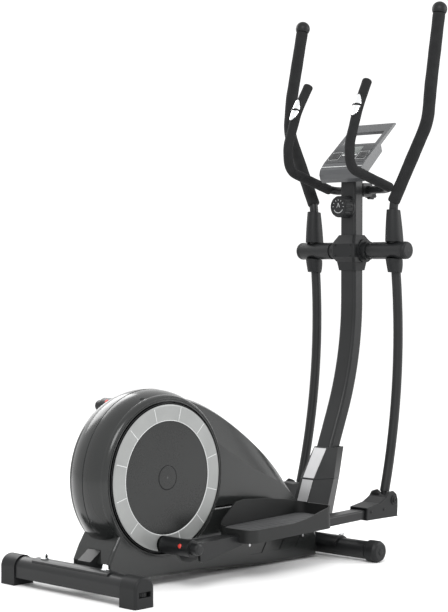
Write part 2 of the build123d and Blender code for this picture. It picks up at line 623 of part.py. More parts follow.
def make_disc_cap():
    radius = CAP_RADIUS - 0.5
    return turned_y([(0, 77), (radius, 77), (radius, 79.5), (radius - 1, 80.2), (0, 80.6)])


def make_crank_bearings():
    left = ring_y(CRANK_X, CRANK_Z, 19, BRACKET_Y, 20.95, 10.05)
    return both_sides(left)


# ---------------------------------------------------------------- flywheel, belt and brake
FLYWHEEL_X, FLYWHEEL_Z = 588.0, 228.0
FLYWHEEL_RADIUS = 100.0
FLYWHEEL_PULLEY_RADIUS = 25.0
BELT_GAP = 0.35
BELT_THICKNESS = 3.0


def make_flywheel_axle():
    return cyl_y(FLYWHEEL_X, FLYWHEEL_Z, -46, 57, 5.95)


def make_flywheel():
    y0, y1 = -22.0, -2.0
    rim = ring_y(FLYWHEEL_X, FLYWHEEL_Z, y0, y1, FLYWHEEL_RADIUS, FLYWHEEL_RADIUS - 24)
    web = ring_y(FLYWHEEL_X, FLYWHEEL_Z, -15, -9, FLYWHEEL_RADIUS - 20, 6.0)
    return rim + web + ring_y(FLYWHEEL_X, FLYWHEEL_Z, -36, 36, 16, 6.0)


def make_flywheel_pulley():
    return ring_y(FLYWHEEL_X, FLYWHEEL_Z, 36.1, 51, FLYWHEEL_PULLEY_RADIUS, 6.0)


def belt_face(grow):
    """Area inside the belt's run round both pulleys, grown outward by a distance."""
    big, small = PULLEY_RADIUS + BELT_GAP + grow, FLYWHEEL_PULLEY_RADIUS + BELT_GAP + grow
    dx, dz = FLYWHEEL_X - CRANK_X, FLYWHEEL_Z - CRANK_Z
    reach, slope = hypot(dx, dz), atan2(dz, dx)
    spread = acos((big - small) / reach)
    corners = []
    for centre_x, centre_z, radius in ((CRANK_X, CRANK_Z, big), (FLYWHEEL_X, FLYWHEEL_Z, small)):
        for turn in (spread, -spread):
            angle = slope + turn
            corners.append((centre_x + radius * cos(angle), centre_z + radius * sin(angle)))
    run = make_face(Polyline(corners[0], corners[1], corners[3], corners[2], close=True))
    return run + Pos(CRANK_X, CRANK_Z) * Circle(big) + Pos(FLYWHEEL_X, FLYWHEEL_Z) * Circle(small)


def make_drive_belt():
    half = BELT_WIDTH / 2
    return along_y(belt_face(BELT_THICKNESS) - belt_face(0), PULLEY_Y - half, PULLEY_Y + half)


IDLER_X = 452.0
IDLER_RADIUS = 18.0


def belt_lower_z(x):
    """Height of the belt's lower outer face at a station."""
    big = PULLEY_RADIUS + BELT_GAP + BELT_THICKNESS
    small = FLYWHEEL_PULLEY_RADIUS + BELT_GAP + BELT_THICKNESS
    dx, dz = FLYWHEEL_X - CRANK_X, FLYWHEEL_Z - CRANK_Z
    angle = atan2(dz, dx) - acos((big - small) / hypot(dx, dz))
    touch_x, touch_z = CRANK_X + big * cos(angle), CRANK_Z + big * sin(angle)
    return touch_z - (x - touch_x) * cos(angle) / sin(angle), angle


def idler_centre():
    z, angle = belt_lower_z(IDLER_X)
    clear = IDLER_RADIUS + BELT_GAP
    return IDLER_X, z - clear / abs(sin(angle))


def make_idler_arm():
    x, z = idler_centre()
    arm = side_plate([(x - 12, z - 12), (x + 12, z - 12), (x + 60, BEAM_TOP), (x + 24, BEAM_TOP)], 18, 22)
    return arm + cyl_y(x, z, 18, 22, 16) + cyl_y(x, z, 18, 50, 4.95)


def make_idler_wheel():
    x, z = idler_centre()
    return ring_y(x, z, PULLEY_Y - 7, PULLEY_Y + 6, IDLER_RADIUS, 5.0)


BRAKE_PIVOT = (FLYWHEEL_X + 118.0, BEAM_TOP + 14.0)


def make_brake_bracket():
    """Curved arm that carries the magnets round the front of the flywheel."""
    reach = FLYWHEEL_RADIUS + 9
    curve = ring_y(FLYWHEEL_X, FLYWHEEL_Z, -24, 0, reach + 3, reach)
    x, z = FLYWHEEL_X, FLYWHEEL_Z
    window = [(x, z), (x + 170, z - 130), (x + 200, z), (x + 170, z + 60)]
    curve = curve & side_plate(window, -30, 10)
    px, pz = BRAKE_PIVOT
    lug = ring_y(px, pz, -24, 0, 9, 4.0 + RUNNING_GAP)
    angle = radians(-38)
    end = (FLYWHEEL_X + (reach + 1.5) * cos(angle), FLYWHEEL_Z + (reach + 1.5) * sin(angle))
    strap_outline = [(end[0] - 6, end[1] + 3), (end[0] + 5, end[1] + 8), (px + 6, pz + 4), (px - 6, pz - 2)]
    strap = side_plate(strap_outline, -24, 0)
    strap -= cyl_y(px, pz, -40, 10, 4.0 + RUNNING_GAP)
    strap -= cyl_y(x, z, -40, 10, reach)
    return curve + strap + lug


def make_brake_magnets():
    reach = FLYWHEEL_RADIUS + 9
    pieces = []
    for degree in (-26, -8, 10):
        magnet = box(reach - 6, reach - 0.7, -21, -3, -11, 11) - cyl_y(0, 0, -40, 10, reach - 6.5)
        pieces.append(Location((FLYWHEEL_X, 0, FLYWHEEL_Z), (0, -degree, 0)) * magnet)
    return group(*pieces)


def make_brake_pin():
    px, pz = BRAKE_PIVOT
    foot = BEAM_TOP - 24
    outline = [(px - 14, foot), (px + 14, foot), (px + 9, pz + 8), (px - 9, pz + 8)]
    post = side_plate(outline, -30, -BEAM_HALF_WIDTH)
    return post + cyl_y(px, pz, -30, 3, 4.0)


# ---------------------------------------------------------------- housing
SKIRT_HALF_WIDTH = 73.0
SEAM_OVERLAP = 2.0


def skirt_outline(inset):
    return [(58 + inset, 27 + inset), (55 + inset, 79), (73 + inset, 115), (96 + inset, 150),
            (140, 190), (700, 190), (858 - inset, 150 - inset), (868 - inset, 100), (884 - inset, 62),
            (884 - inset, 5 + inset), (660, 5 + inset), (380, 21 + inset)]


CROWN = ((235.0, 0.0), (232.0, 34.0), (223.0, 58.0), (219.5, 69.0), (213.5, 74.0))


def drum(inset):
    """Half drum from past the seam out to the left side face, with a crowned rim and a soft shoulder."""
    (top, mid, edge, shoulder, side) = [(radius - inset, max(y - inset, 0)) for radius, y in CROWN]
    crown = ThreePointArc(top, mid, edge)
    bend = ThreePointArc(edge, shoulder, side)
    lines = Polyline(side, (0, side[1]), (0, -SEAM_OVERLAP), (top[0], -SEAM_OVERLAP), top)
    face = make_face(Wire([*crown.edges(), *bend.edges(), *lines.edges()]))
    return Pos(CRANK_X, 0, CRANK_Z) * revolve(face, Axis.Y)


# Station, ridge height, crease height, half width at the crease and half width of the ridge
NOSE = ((330, 503, 440, 60, 32), (400, 492, 412, 61, 30), (470, 468, 370, 62, 27), (550, 428, 322, 62, 25),
        (640, 372, 276, 60, 22), (730, 303, 236, 57, 20), (790, 243, 196, 53, 18), (858, 158, 142, 46, 16))


def nose(inset):
    """Half nose ahead of the drum: upright flank up to a crease, then raked in to a narrow ridge."""
    faces = []
    for x, top, crease, side, ridge in NOSE:
        points = [(-SEAM_OVERLAP, 100), (side - inset, 100), (side - inset, crease - inset * 0.5),
                  (ridge - inset * 0.8, top - 8 - inset), (ridge * 0.55, top - 1.5 - inset),
                  (-SEAM_OVERLAP, top - inset)]
        faces.append(Plane(origin=(x, 0, 0), x_dir=(0, 1, 0), z_dir=(1, 0, 0)) * make_face(
            Polyline(*points, close=True)))
    return loft(faces)


def make_housing():
    """Left-hand shell, cut at the seam plane; the right-hand shell is its mirror image."""
    skirt = side_plate(skirt_outline(0), -SEAM_OVERLAP, SKIRT_HALF_WIDTH)
    skirt = fillet_where(skirt, lambda c, e: c.Y > SKIRT_HALF_WIDTH - 0.1, 9.0)
    outer = drum(0) + nose(0) + skirt
    recess = cyl_y(CRANK_X, CRANK_Z, DRUM_HALF_WIDTH - RECESS_DEPTH, 100, RECESS_RADIUS)
    groove = ring_y(CRANK_X, CRANK_Z, DRUM_HALF_WIDTH - 1.5, 100, RECESS_RADIUS + 5, RECESS_RADIUS + 2)
    inner = drum(SHELL) + nose(SHELL) + side_plate(skirt_outline(SHELL), -SEAM_OVERLAP,
                                                     SKIRT_HALF_WIDTH - SHELL)
    inner -= cyl_y(CRANK_X, CRANK_Z, DRUM_HALF_WIDTH - RECESS_DEPTH - SHELL, 100, RECESS_RADIUS + SHELL + 8)
    shell = outer - inner - recess - groove
    shell -= cyl_y(CRANK_X, CRANK_Z, 0, 100, 24)
    shell -= beam_solid(0.6)
    for x, z, width in ((640, 66, 46), (712, 66, 52), (786, 66, 44)):
        pocket = [(x - width / 2 - 18, z - 26), (x + width / 2 - 18, z - 26), (x + width / 2 + 16, z + 26),
                  (x - width / 2 + 16, z + 26)]
        shell -= side_plate(pocket, SKIRT_HALF_WIDTH - 2, SKIRT_HALF_WIDTH + 5)
    for x, z in SCREW_SPOTS:
        shell -= cyl_y(x, z, SCREW_SEAT_Y - 0.05, 100, SCREW_RADIUS + 0.2)
    return shell & box(0, 1000, 0, 100, 0, 600)


SCREW_SPOTS = ((594, 68), (822, 70))
SCREW_RADIUS = 4.5
SCREW_SEAT_Y = SKIRT_HALF_WIDTH - 2.0


def make_housing_screws():
    screws = [cyl_y(x, z, SCREW_SEAT_Y, SCREW_SEAT_Y + 1.6, SCREW_RADIUS) for x, z in SCREW_SPOTS]
    return both_sides(group(*screws))


# ---------------------------------------------------------------- pulse handlebar
PULSE_POINTS = [(1180, 0, 1097), (1180, 122, 1097), (974, 121, 1153), (973, 123, 1228), (1013, 122, 1335),
                (1062, 117, 1419)]
PULSE_BENDS = [38, 46, 90, 160]
SENSOR_HALF, SENSOR_HALF_WIDTH, SENSOR_GAP = 36.0, 14.0, 6.0


def pulse_path():
    return FilletPolyline(*PULSE_POINTS, radius=PULSE_BENDS)


def make_pulse_handlebar():
    half = bent_rod(pulse_path(), PULSE_TUBE_RADIUS)
    # Open bore, left solid at the plugged tips
    half -= bent_rod(pulse_path(), PULSE_TUBE_RADIUS - TUBE_WALL) & box(800, 1300, -1, 300, 1000, 1412)
    return half + mirror(half, Plane.XZ)


def sensor_plane():
    centre = Vector(*PULSE_POINTS[4])
    along = (Vector(*PULSE_POINTS[5]) - Vector(*PULSE_POINTS[3])).normalized()
    return Plane(origin=centre + Vector(-2.5, 0, 2.5), x_dir=(0, 1, 0), z_dir=along)


def make_pulse_grip():
    """Foam sleeve over one arm of the bar, up to its tip."""
    sleeve = bent_tube(pulse_path(), PULSE_FOAM_RADIUS, PULSE_TUBE_RADIUS + 0.1)
    return sleeve & box(800, 1168, 40, 200, 1000, 1600)


def make_pulse_sensor():
    """Leaf-shaped contact plate on the rear of the grip, in an upper and a lower half."""
    leaf = Pos(0, 30, 0) * extrude(Plane.XZ * Ellipse(SENSOR_HALF_WIDTH, SENSOR_HALF), amount=30)
    leaf -= Box(60, 90, SENSOR_GAP)
    wrap = bent_tube(pulse_path(), PULSE_FOAM_RADIUS + 2.4, PULSE_FOAM_RADIUS + 0.1)
    return group(*solids(wrap & (sensor_plane().location * leaf)))


def make_handlebar_clamp():
    block = box(MAST_X + MAST_DEPTH / 2 + 0.2, 1198, -27, 27, 1076, 1118)
    block = fillet(block.edges().filter_by(Axis.Y), 6)
    return block - cyl_y(1180, 1097, -60, 60, PULSE_TUBE_RADIUS + 0.05)


def make_clamp_knob():
    knob = cyl_x(-10, 1084, 1198.6, 1222, 15)
    lobes = 6
    for step in range(lobes):
        angle = radians(360 / lobes * step)
        knob -= cyl_x(-10 + 18 * cos(angle), 1084 + 18 * sin(angle), 1190, 1230, 6)
    return knob


# ---------------------------------------------------------------- console
def on_console(shape):
    """From the console's own frame: x up the face, y across, z out of the face."""
    return Location((CONSOLE_X, 0, CONSOLE_Z), (0, -CONSOLE_TILT, 0)) * shape


FACE_SINK = 3.0
WINDOW = (96.0, 156.0, 66.0)


def make_console_body():
    """Moulded tray with a rolled lower edge and an open window in its upper half."""
    profile = [(6, 0), (194, 0), (201, -4), (202, -10), (98, -12), (90, -30), (-9, -35), (-29, -50),
               (-40, -43), (-42, -28), (-36, -14), (-24, -5)]
    body = side_plate(profile, -CONSOLE_HALF_WIDTH, CONSOLE_HALF_WIDTH)
    body = fillet_where(body, lambda c, e: abs(abs(c.Y) - CONSOLE_HALF_WIDTH) < 0.1 and c.X > 100, 3.0)
    body -= box(WINDOW[0], WINDOW[1], -WINDOW[2], WINDOW[2], -60, 20)
    body -= box(4, WINDOW[0] - 8, -CONSOLE_HALF_WIDTH + 8, CONSOLE_HALF_WIDTH - 8, -FACE_SINK - 16, 5)
    mast_seat = mast_solid(MAST_DEPTH + 0.4, MAST_WIDTH + 0.4, 10.2, MAST_TOP_Z - 150, MAST_TOP_Z + 0.2)
    return on_console(body) - mast_seat


DISPLAY = (44.0, 82.0, 30.0)
BUTTON = (22.0, 48.0, 55.0, 36.0)


def make_console_face():
    """Printed face panel, let into the tray, with openings for the display and the buttons."""
    panel = box(4.2, WINDOW[0] - 8.2, -CONSOLE_HALF_WIDTH + 8.2, CONSOLE_HALF_WIDTH - 8.2, -FACE_SINK, 0.5)
    panel -= box(DISPLAY[0] - 0.2, DISPLAY[1] + 0.2, -DISPLAY[2] - 0.2, DISPLAY[2] + 0.2, -5, 5)
    for sign in (-1, 1):
        panel -= Pos((BUTTON[0] + BUTTON[1]) / 2, sign * BUTTON[2], 0) * Box(
            BUTTON[1] - BUTTON[0] + 0.8, BUTTON[3] + 0.8, 20)
    return on_console(panel)


def make_console_display():
    return on_console(box(DISPLAY[0], DISPLAY[1], -DISPLAY[2], DISPLAY[2], -FACE_SINK, 0.2))


def make_button(sign):
    length, width = BUTTON[1] - BUTTON[0], BUTTON[3]
    pad = Box(length, width, 7)
    pad = fillet(pad.edges().filter_by(Axis.Z), 4)
    stem = Pos(0, 0, -6) * Box(8, 8, 6)
    return on_console(Pos((BUTTON[0] + BUTTON[1]) / 2, sign * BUTTON[2], -1) * (pad + stem))


# ---------------------------------------------------------------- tension knob
def make_knob_base():
    rear = MAST_X - MAST_DEPTH / 2
    return cyl_x(0, KNOB_Z, rear - 8, rear - 0.1, KNOB_RADIUS + 1) - cyl_x(0, KNOB_Z, rear - 20, rear, 5.05)


def make_tension_knob():
    rear = MAST_X - MAST_DEPTH / 2
    knob = cyl_x(0, KNOB_Z, rear - 42, rear - 8.6, KNOB_RADIUS)
    knob = fillet(knob.edges().group_by(Axis.X)[0], 4)
    ribs = 12
    for step in range(ribs):
        angle = radians(360 / ribs * step)
        knob -= cyl_x((KNOB_RADIUS + 2) * cos(angle), KNOB_Z + (KNOB_RADIUS + 2) * sin(angle),
                      rear - 50, rear - 14, 4)
    return knob + cyl_x(0, KNOB_Z, rear - 10, rear - 3, 5.0)


# ---------------------------------------------------------------- build
parts["main_frame"] = make_main_frame() + make_brake_pin()
parts["rear_stabilizer"] = make_rear_stabilizer()
parts["rear_end_caps"] = both_sides(make_rear_end_cap())
parts["front_stabilizer"] = make_front_stabilizer()
parts["frame_bolts"] = group(
    both_sides(make_roller_bolt()),
    *[both_sides(make_dome_nut(*spot)) for spot in BOLT_SPOTS])
parts["mast"] = make_mast()
parts["mast_cover_lower"] = make_mast_cover(116, COVER_SEAM_Z - 0.5, COVER_FOOT_SECTION, COVER_SEAM_SECTION)
parts["mast_cover_upper"] = make_mast_cover(COVER_SEAM_Z + 0.5, COVER_TOP_Z, COVER_SEAM_SECTION,
                                            COVER_TOP_SECTION)
parts["pivot_axle"] = make_pivot_axle()
parts["pivot_end_caps"] = both_sides(make_pivot_end_cap())
pivot_cover = make_pivot_cover()
parts["pivot_cover_rear"] = pivot_cover & box(1000, PIVOT_X - 0.2, -100, 100, 800, 1000)
parts["pivot_cover_front"] = pivot_cover & box(PIVOT_X + 0.2, 1300, -100, 100, 800, 1000)

housing = make_housing()
parts["housing_left"] = housing
parts["housing_right"] = mirror(housing, Plane.XZ)
parts["housing_screws"] = make_housing_screws()
parts["crank_bearings"] = make_crank_bearings()
parts["flywheel_axle"] = make_flywheel_axle()
parts["idler_arm"] = make_idler_arm()
parts["drive_belt"] = make_drive_belt()

parts["crank_axle"] = make_crank_axle()
parts["crank_pulley"] = make_crank_pulley()
for name, make in (("crank_arms", make_crank_arm), ("crank_discs", make_crank_disc),
                   ("disc_rings", make_disc_ring), ("disc_caps", make_disc_cap)):
    parts[name] = group(*[place_on_crank(mirrored(make(), sign), side) for side, sign in SIDES])

parts["flywheel"] = make_flywheel()
parts["flywheel_pulley"] = make_flywheel_pulley()
parts["idler_wheel"] = make_idler_wheel()
parts["brake_bracket"] = make_brake_bracket()
parts["brake_magnets"] = make_brake_magnets()

for side, sign in SIDES:
    for name, make in (("swing_arm", make_swing_arm), ("hub_cover", make_hub_cover),
                       ("handle_grip", make_handle_grip), ("grip_ball", make_grip_ball)):
        parts[f"{name}_{side}"] = place_swing_arm(mirrored(make(), sign), side)
    for name, make in (("pedal_arm", make_pedal_arm), ("pedal", make_pedal),
                       ("joint_cover", make_joint_cover)):
        parts[f"{name}_{side}"] = place_pedal_arm(mirrored(make(), sign), side)
    parts[f"transport_roller_{side}"] = mirrored(make_transport_roller(), sign)
    parts[f"rear_leveller_{side}"] = mirrored(make_rear_leveller(), sign)
    parts[f"button_{side}"] = make_button(sign)

parts["pulse_handlebar"] = make_pulse_handlebar()
parts["pulse_grips"] = both_sides(make_pulse_grip())
parts["pulse_sensors"] = both_sides(make_pulse_sensor())
parts["handlebar_clamp"] = make_handlebar_clamp()
parts["clamp_knob"] = make_clamp_knob()
parts["console_body"] = make_console_body()
parts["console_face"] = make_console_face()
parts["console_display"] = make_console_display()
parts["knob_base"] = make_knob_base()
parts["tension_knob"] = make_tension_knob()

os.makedirs("parts", exist_ok=True)
for name, shape in parts.items():
    moved = Pos(-ORIGIN_STATION, 0, 0) * shape
    export_step(moved, f"parts/{name}.step")
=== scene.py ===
"""Looks for the elliptical trainer: materials for the CAD nodes, and the small pieces that CAD leaves out."""
import json
import math

import bmesh
import bpy
from mathutils import Matrix, Vector


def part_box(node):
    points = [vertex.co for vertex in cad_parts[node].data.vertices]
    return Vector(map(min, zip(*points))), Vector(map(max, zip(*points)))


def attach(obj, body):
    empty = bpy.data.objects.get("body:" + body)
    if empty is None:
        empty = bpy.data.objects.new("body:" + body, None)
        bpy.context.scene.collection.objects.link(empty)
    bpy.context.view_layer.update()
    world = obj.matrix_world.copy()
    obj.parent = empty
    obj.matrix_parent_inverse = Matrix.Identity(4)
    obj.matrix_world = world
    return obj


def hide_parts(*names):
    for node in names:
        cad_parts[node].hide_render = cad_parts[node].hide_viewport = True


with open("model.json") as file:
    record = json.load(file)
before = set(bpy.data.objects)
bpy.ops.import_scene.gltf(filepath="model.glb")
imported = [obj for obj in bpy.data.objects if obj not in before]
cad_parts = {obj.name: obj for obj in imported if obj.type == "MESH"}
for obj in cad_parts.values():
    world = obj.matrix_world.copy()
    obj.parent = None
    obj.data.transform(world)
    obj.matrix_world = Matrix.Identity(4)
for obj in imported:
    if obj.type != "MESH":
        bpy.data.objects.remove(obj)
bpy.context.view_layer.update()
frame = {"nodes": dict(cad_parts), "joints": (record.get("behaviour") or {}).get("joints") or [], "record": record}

# Driving sizes, in metres and degrees, as the CAD model has them
SIDES = (("left", 1), ("right", -1))
CRANK_RADIUS = 0.178
RIGHT_PIN_ANGLE = -95.8
SLEEVE_RADIUS = 0.023
ARM_Y, SWING_Y = 0.165, 0.160
JOINT_COVER_HALF = 0.034
GRIP_RADIUS = 0.019
PULSE_FOAM_RADIUS = 0.015
SENSOR_HALF, SENSOR_HALF_WIDTH = 0.036, 0.014
RING_INNER, RING_OUTER = 0.1532, 0.1975
RING_FACE_Y = 0.0804
DRUM_RADIUS = 0.235
CONSOLE_X, CONSOLE_Z, CONSOLE_TILT = 1.090, 1.177, 40.9
MAST_X, MAST_LEAN = 1.131, 22.6
MAST_BEND_RADIUS, MAST_BEND_TOP = 0.900, 0.760
PIVOT_COVER_REACH = 0.0460
KNOB_Z, KNOB_FACE_X = 1.043, 1.066
PEDAL_ARM_LENGTH = 0.847
PEDAL_START_X, PEDAL_LENGTH = 0.180, 0.345
PEDAL_INNER_Y, PEDAL_OUTER_Y = 0.105, 0.238
ARM_DROP = 1.69
ROLLER_FACE_Y = 0.278

# Sizes of the pieces that only this script makes: ring panels, cap groove, tread, the red pin plugs, and the dark
# disc that paints the shade in the drum's screw hole
RING_PARTS = 12
PIN_BOSS_CLEARANCE = 0.035
CAP_GROOVE_Y = 0.0796
TREAD_Z = 0.0218
PIN_CAP_Y, PIN_CAP_RISE = 0.166, 0.0078
DRUM_HOLE_SHADE = (0.194, -0.052, 0.5044)
DRUM_HOLE_SHADE_AXIS = (-0.273, -0.450, 0.847)

# Centrelines: the handle in the swing arm's own frame, and the pulse bar by station
GRIP_POINTS = ((-0.013, SWING_Y, 0.145), (-0.018, 0.281, 0.382), (-0.013, 0.283, 0.490),
               (0.016, 0.281, 0.712))
GRIP_BENDS = (0.150, 0.400)
PULSE_POINTS = ((1.168, 0.121, 1.1003), (0.974, 0.121, 1.153), (0.973, 0.123, 1.228), (1.013, 0.122, 1.335),
                (1.062, 0.117, 1.419))
PULSE_BENDS = (0.046, 0.090, 0.160)
PULSE_STEP = 0.004
SENSOR_POINT = PULSE_POINTS[3]

# Camera off the machine's right rear corner, a little under a metre up
CAMERA_PLACE, CAMERA_WAY = (-2.888, -3.338, 0.851), (0.7186, 0.6950, -0.0217)
CAMERA_LENS, CAMERA_SENSOR = 99.17, 36

joints = {joint["name"]: Vector(joint.get("pos_m", (0, 0, 0))) for joint in frame["joints"]}
crank_centre = joints["crank_spin"]
pivot = joints["swing_right_pivot"]
lower_joint = {side: joints[f"pedal_{side}_hinge"] for side, _ in SIDES}
# The rear stabilizer's middle is station 0, from which the CAD model measures X.
station_0 = sum(corner.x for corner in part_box("rear_stabilizer")) / 2


def station(x, y, z):
    """Point given as the CAD model gives it: X from the rear stabilizer, in metres."""
    return Vector((station_0 + x, y, z))


def full_turn(count):
    """Angles evenly spaced round a full circle, from 0."""
    return [2 * math.pi * k / count for k in range(count)]


def crank_pin(side):
    """Centre of one crank pin at rest; the left pin is half a turn from the right one."""
    angle = math.radians(RIGHT_PIN_ANGLE if side == "right" else RIGHT_PIN_ANGLE + 180)
    return crank_centre + Vector((math.cos(angle), 0, math.sin(angle))) * CRANK_RADIUS


# ---------------------------------------------------------------- shader helpers
def add(tree, kind, inputs=None, **settings):
    """New shader node; each input is a plain value or another node's output."""
    node = tree.nodes.new(kind)
    for key, value in settings.items():
        setattr(node, key, value)
    for key, value in (inputs or {}).items():
        if isinstance(value, bpy.types.NodeSocket):
            tree.links.new(value, node.inputs[key])
        else:
            node.inputs[key].default_value = value
    return node


def noise(tree, scale, detail=3.0, stretch=(1, 1, 1)):
    place = add(tree, "ShaderNodeTexCoord").outputs["Object"]
    mapped = add(tree, "ShaderNodeMapping", {"Vector": place, "Scale": stretch}).outputs["Vector"]
    cloud = add(tree, "ShaderNodeTexNoise", {"Vector": mapped, "Scale": scale, "Detail": detail})
    return cloud.outputs["Fac"]


def remap(tree, value, from_low, from_high, to_low, to_high):
    return add(tree, "ShaderNodeMapRange", {"Value": value, "From Min": from_low, "From Max": from_high,
                                            "To Min": to_low, "To Max": to_high}).outputs["Result"]


def mix_colour(tree, factor, first, second):
    """Two colours mixed; a Mix node has its colours at inputs 6 and 7 and at output 2."""
    node = add(tree, "ShaderNodeMix", {0: factor, 6: first, 7: second}, data_type="RGBA")
    return node.outputs[2]


def sum_of(tree, first, second, weight):
    """The first value plus the weighted second."""
    return add(tree, "ShaderNodeMath", {0: second, 1: weight, 2: first}, operation="MULTIPLY_ADD").outputs[0]


def rgba(colour, factor=1.0):
    return (*[channel * factor for channel in colour], 1.0)


def edge_mask(tree, radius):
    """1 along sharp edges and 0 elsewhere, and the rounded normal that goes with it."""
    rounded = add(tree, "ShaderNodeBevel", {"Radius": radius}, samples=4).outputs["Normal"]
    flat = add(tree, "ShaderNodeNewGeometry").outputs["Normal"]
    same = add(tree, "ShaderNodeVectorMath", {0: rounded, 1: flat}, operation="DOT_PRODUCT").outputs["Value"]
    return remap(tree, same, 0.97, 0.75, 0.0, 1.0), rounded


def surface(name, colour, *, roughness, roughness_spread=0.06, metallic=0.0, coat=0.0, coat_roughness=0.1,
            grain=900.0, depth=0.00004, mottle=9.0, mottle_amount=0.12, wear=0.25, wear_colour=None,
            edge=0.001, stretch=(1, 1, 1), specular=0.5):
    """Procedural finish: mottled colour, worn edges, uneven roughness and a fine grain in the normal."""
    material = bpy.data.materials.new(name)
    material.use_nodes = True
    tree = material.node_tree
    shader = tree.nodes["Principled BSDF"]
    patches = noise(tree, mottle, 4.0)
    fine = noise(tree, grain, 2.0, stretch)
    body = mix_colour(tree, remap(tree, patches, 0.35, 0.65, 0.0, 1.0), rgba(colour, 1 - mottle_amount),
                      rgba(colour, 1 + mottle_amount))
    edges, rounded = edge_mask(tree, edge)
    broken = add(tree, "ShaderNodeMath", {0: edges, 1: remap(tree, noise(tree, 60.0), 0.4, 0.65, 0.3, 1.0)},
                 operation="MULTIPLY").outputs[0]
    worn = add(tree, "ShaderNodeMath", {0: broken, 1: wear}, operation="MULTIPLY").outputs[0]
    tone = mix_colour(tree, worn, body, rgba(wear_colour or [min(1.0, c * 3 + 0.06) for c in colour]))
    tree.links.new(tone, shader.inputs["Base Color"])
    rough = remap(tree, sum_of(tree, patches, fine, 0.35), 0.4, 0.95, roughness - roughness_spread,
                  roughness + roughness_spread)
    tree.links.new(rough, shader.inputs["Roughness"])
    bump = add(tree, "ShaderNodeBump", {"Height": fine, "Strength": 0.6, "Distance": depth,
                                        "Normal": rounded})
    tree.links.new(bump.outputs["Normal"], shader.inputs["Normal"])
    shader.inputs["Metallic"].default_value = metallic
    shader.inputs["Coat Weight"].default_value = coat
    shader.inputs["Coat Roughness"].default_value = coat_roughness
    shader.inputs["Specular IOR Level"].default_value = specular
    return material


# ---------------------------------------------------------------- materials
def make_materials():
    """One finish for each kind of surface that the machine has."""
    charcoal = (0.0085, 0.009, 0.0095)
    return {
        "frame_paint": surface("frame_paint", charcoal, roughness=0.42, grain=700, depth=0.00005, coat=0.08,
                               wear=0.10, specular=0.25),
        "housing_plastic": surface("housing_plastic", (0.014, 0.0150, 0.0147), roughness=0.22, coat=0.32,
                                   coat_roughness=0.16, grain=350, depth=0.00002, mottle=3, wear=0.12,
                                   roughness_spread=0.04, specular=0.25),
        "disc_plastic": surface("disc_plastic", (0.012, 0.0128, 0.0125), roughness=0.27, coat=0.20,
                                coat_roughness=0.2, grain=300, depth=0.00002, mottle=4, specular=0.22),
        "ring_silver": surface("ring_silver", (0.25, 0.256, 0.252), roughness=0.4, metallic=0.45, grain=500,
                               depth=0.00002, mottle=12, mottle_amount=0.05, wear=0.3,
                               wear_colour=(0.8, 0.8, 0.8)),
        # Dark trim; the same finish also paints the shade of the screw hole in the drum's top.
        "trim_plastic": surface("trim_plastic", charcoal, roughness=0.48, grain=1100, depth=0.00006,
                                wear=0.08, specular=0.22),
        "cover_plastic": surface("cover_plastic", (0.018, 0.0186, 0.019), roughness=0.32, coat=0.08,
                                 grain=500, depth=0.00003, wear=0.2, specular=0.2),
        "silver_strip": surface("silver_strip", (0.40, 0.40, 0.405), roughness=0.36, metallic=0.7, grain=900,
                                depth=0.00003, stretch=(1, 1, 0.03), mottle_amount=0.08),
        "pedal_plastic": surface("pedal_plastic", (0.010, 0.0105, 0.0105), roughness=0.5, grain=1300,
                                 depth=0.00009, wear=0.12, specular=0.25),
        "tread_rubber": surface("tread_rubber", (0.050, 0.051, 0.052), roughness=0.62, grain=1500,
                                depth=0.0001, wear=0.3, specular=0.3),
        "grip_foam": surface("grip_foam", (0.011, 0.0113, 0.0117), roughness=0.85, grain=1600, depth=0.00022,
                             mottle=40, mottle_amount=0.2, wear=0.0, specular=0.2),
        "chrome": surface("chrome", (0.82, 0.83, 0.84), roughness=0.12, roughness_spread=0.04, metallic=1.0,
                          grain=250, depth=0.00001, mottle_amount=0.03, wear=0.0),
        "steel": surface("steel", (0.5, 0.5, 0.51), roughness=0.3, metallic=1.0, grain=600, depth=0.00002,
                         stretch=(1, 0.05, 1), wear=0.1),
        "flywheel_iron": surface("flywheel_iron", (0.2, 0.2, 0.205), roughness=0.4, metallic=0.9, grain=700,
                                 depth=0.00005),
        "belt_rubber": surface("belt_rubber", (0.015, 0.015, 0.015), roughness=0.6, grain=900, depth=0.00005),
        "bearing_steel": surface("bearing_steel", (0.6, 0.6, 0.61), roughness=0.22, metallic=1.0, grain=500,
                                 depth=0.00001),
        "console_plastic": surface("console_plastic", (0.055, 0.057, 0.060), roughness=0.36, coat=0.2,
                                   grain=600, depth=0.00003, wear=0.2, specular=0.35),
        "panel_plastic": surface("panel_plastic", (0.034, 0.036, 0.038), roughness=0.33, coat=0.25, grain=700,
                                 depth=0.00002, specular=0.3),
        "display_lens": surface("display_lens", (0.16, 0.175, 0.168), roughness=0.18, coat=0.6, grain=300,
                                depth=0.00001, mottle_amount=0.05, wear=0.0),
        "button_rubber": surface("button_rubber", (0.028, 0.029, 0.030), roughness=0.5, grain=1200,
                                 depth=0.00005),
        "magnet": surface("magnet", (0.3, 0.3, 0.31), roughness=0.3, metallic=1.0, grain=400, depth=0.00002),
        "red_cap": surface("red_cap", (0.50, 0.030, 0.020), roughness=0.35, grain=900, depth=0.00003,
                           mottle_amount=0.1, wear=0.15),
        # White for print and outlines; the same finish also paints the highlight line on the console's rolled
        # edge.
        "white_mark": surface("white_mark", (0.55, 0.56, 0.56), roughness=0.5, grain=900, depth=0.00002,
                              mottle_amount=0.05, wear=0.0),
    }


materials = make_materials()
slot_of = {part["node"]: part["material_slot"] for part in frame["record"]["subparts"]}


def dress(piece, name):
    piece.data.materials.clear()
    piece.data.materials.append(materials[name])


for node, piece in frame["nodes"].items():
    dress(piece, slot_of[node])


